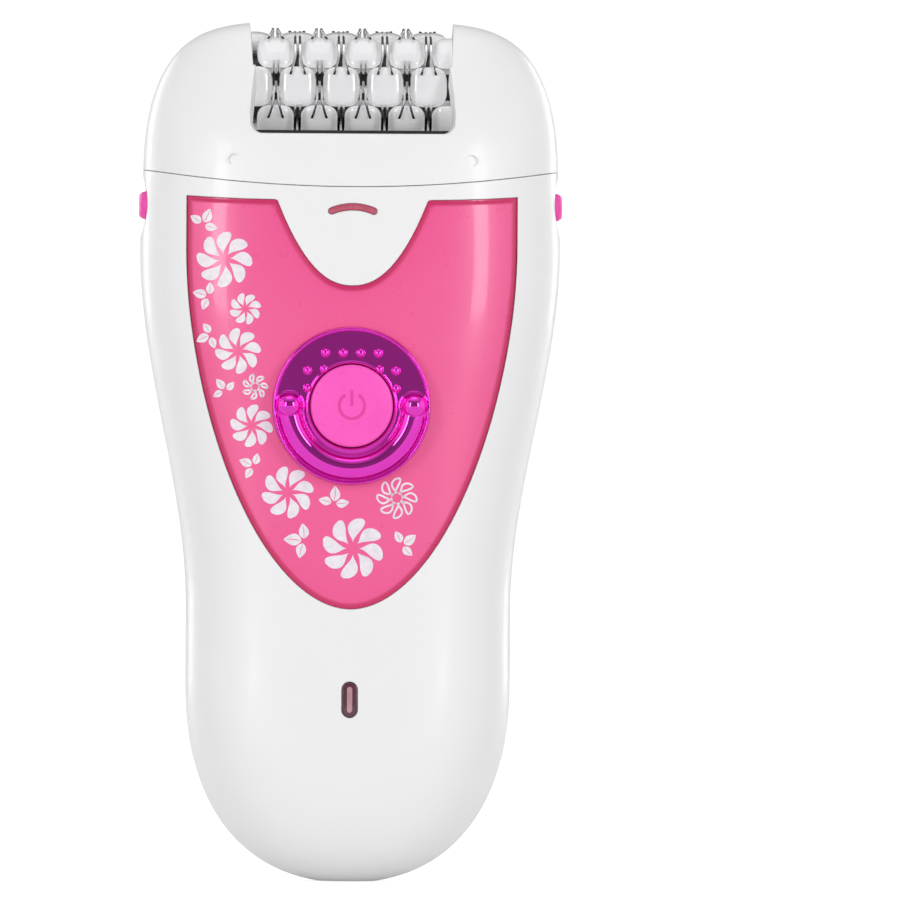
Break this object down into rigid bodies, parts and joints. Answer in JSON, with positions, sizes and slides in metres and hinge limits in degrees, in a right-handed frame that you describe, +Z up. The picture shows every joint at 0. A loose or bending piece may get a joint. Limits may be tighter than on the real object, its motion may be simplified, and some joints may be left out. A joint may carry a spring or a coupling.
{
  "type": "epilator",
  "caption": "Cordless epilator with a lift-off tweezer head, a rotating drum of sliding-jaw tweezers, a front power button in a plated ring and head release buttons.",
  "frame": {"origin": "centre of the flat base", "axes": "+Z up to the tweezer head, -Y out of the front with the power button, +X to the right seen from the front"},
  "size_m": [0.0664, 0.0395, 0.1346],
  "materials": {
    "white_gloss": "gloss white ABS",
    "white_inner": "as-moulded white",
    "pearl": "polished white",
    "pink_panel": "pink, clear gloss coat, with a flower print",
    "magenta_chrome": "magenta plating",
    "pink_button": "satin pink",
    "pink_window": "translucent pink",
    "smoked_lens": "smoked translucent lens",
    "steel": "bright stainless steel",
    "brass": "turned brass",
    "gear_nylon": "natural nylon",
    "board_green": "solder-masked glass-epoxy",
    "black_plastic": "satin black",
    "battery_wrap": "shrink sleeve over a steel can",
    "led_clear": "clear epoxy",
    "wire_red": "red insulation"
  },
  "bodies": {
    "body": {"front_shell": "white_gloss", "rear_shell": "white_gloss", "decor_panel": "pink_panel", "switch_ring": "magenta_chrome", "lamp_window": "pink_window", "indicator_lens": "smoked_lens", "chassis": "white_inner", "motor_can": "steel", "battery_cell": "battery_wrap", "battery_contact_plus": "steel", "battery_contact_minus": "steel", "circuit_board": "board_green", "switch_base": "black_plastic", "skin_light_led": "led_clear", "indicator_led": "led_clear", "charging_socket": "black_plastic", "wire_red": "wire_red", "wire_black": "black_plastic", "case_screw_1": "steel", "case_screw_2": "steel", "case_screw_3": "steel", "case_screw_4": "steel", "release_spring_left": "steel", "release_spring_right": "steel"},
    "power_switch": {"power_button": "pink_button", "switch_plunger": "black_plastic"},
    "release_left": {"release_button_left": "pink_button"},
    "release_right": {"release_button_right": "pink_button"},
    "head": {"head_cover": "white_gloss", "head_frame": "white_inner", "drum_trough": "black_plastic", "bush_left": "brass", "bush_right": "brass", "closing_cam": "gear_nylon", "idler_pin": "steel"},
    "layshaft": {"lay_shaft": "steel", "crown_gear": "gear_nylon", "lay_pinion": "gear_nylon"},
    "idler": {"idler_gear": "gear_nylon"},
    "rotor": {"motor_shaft": "steel", "drive_pinion": "brass"},
    "drum": {"drum_axle": "steel", "drum_gear": "gear_nylon", "barrel_ring_1": "pearl", "barrel_ring_2": "pearl", "barrel_ring_3": "pearl", "barrel_ring_4": "pearl", "barrel_ring_5": "pearl", "jaw_star_1": "steel", "jaw_star_2": "steel", "jaw_star_3": "steel", "jaw_star_4": "steel"},
    "jaws_1": {"jaw_row_1": "steel"},
    "jaws_2": {"jaw_row_2": "steel"},
    "jaws_3": {"jaw_row_3": "steel"},
    "jaws_4": {"jaw_row_4": "steel"},
    "jaws_5": {"jaw_row_5": "steel"},
    "jaws_6": {"jaw_row_6": "steel"},
    "jaws_7": {"jaw_row_7": "steel"},
    "jaws_8": {"jaw_row_8": "steel"}
  },
  "joints": [
    {"name": "power_press", "type": "slide", "parent": "body", "child": "power_switch", "axis": [0, 1, 0], "range_m": [0, 0.0008]},
    {"name": "release_left_press", "type": "slide", "parent": "body", "child": "release_left", "axis": [1, 0, 0], "range_m": [0, 0.0012], "deforming": ["release_spring_left"]},
    {"name": "release_right_press", "type": "slide", "parent": "body", "child": "release_right", "axis": [-1, 0, 0], "range_m": [0, 0.0012], "deforming": ["release_spring_right"]},
    {"name": "head_lift", "type": "slide", "parent": "body", "child": "head", "axis": [0, 0, 1], "range_m": [0, 0.04]},
    {"name": "drum_spin", "type": "hinge", "parent": "head", "child": "drum", "pos_m": [0, 0, 0.1247], "axis": [1, 0, 0], "continuous": true},
    {"name": "idler_spin", "type": "hinge", "parent": "head", "child": "idler", "pos_m": [0, 0.00521, 0.11617], "axis": [1, 0, 0], "continuous": true},
    {"name": "layshaft_spin", "type": "hinge", "parent": "head", "child": "layshaft", "pos_m": [0, 0.003, 0.109], "axis": [1, 0, 0], "continuous": true},
    {"name": "rotor_spin", "type": "hinge", "parent": "body", "child": "rotor", "pos_m": [0, 0.003, 0.0995], "axis": [0, 0, 1], "continuous": true},
    {"name": "jaw_row_1_close", "type": "slide", "parent": "drum", "child": "jaws_1", "axis": [-1, 0, 0], "range_m": [0, 0.00037]},
    {"name": "jaw_row_2_close", "type": "slide", "parent": "drum", "child": "jaws_2", "axis": [-1, 0, 0], "range_m": [0, 0.00037]},
    {"name": "jaw_row_3_close", "type": "slide", "parent": "drum", "child": "jaws_3", "axis": [-1, 0, 0], "range_m": [0, 0.00037]},
    {"name": "jaw_row_4_close", "type": "slide", "parent": "drum", "child": "jaws_4", "axis": [-1, 0, 0], "range_m": [0, 0.00037]},
    {"name": "jaw_row_5_close", "type": "slide", "parent": "drum", "child": "jaws_5", "axis": [-1, 0, 0], "range_m": [0, 0.00037]},
    {"name": "jaw_row_6_close", "type": "slide", "parent": "drum", "child": "jaws_6", "axis": [-1, 0, 0], "range_m": [0, 0.00037]},
    {"name": "jaw_row_7_close", "type": "slide", "parent": "drum", "child": "jaws_7", "axis": [-1, 0, 0], "range_m": [0, 0.00037]},
    {"name": "jaw_row_8_close", "type": "slide", "parent": "drum", "child": "jaws_8", "axis": [-1, 0, 0], "range_m": [0, 0.00037]}
  ],
  "couplings": [
    {"joint": "idler_spin", "follows": "drum_spin", "ratio": -1},
    {"joint": "layshaft_spin", "follows": "drum_spin", "ratio": 2},
    {"joint": "rotor_spin", "follows": "drum_spin", "ratio": 4.4444}
  ]
}
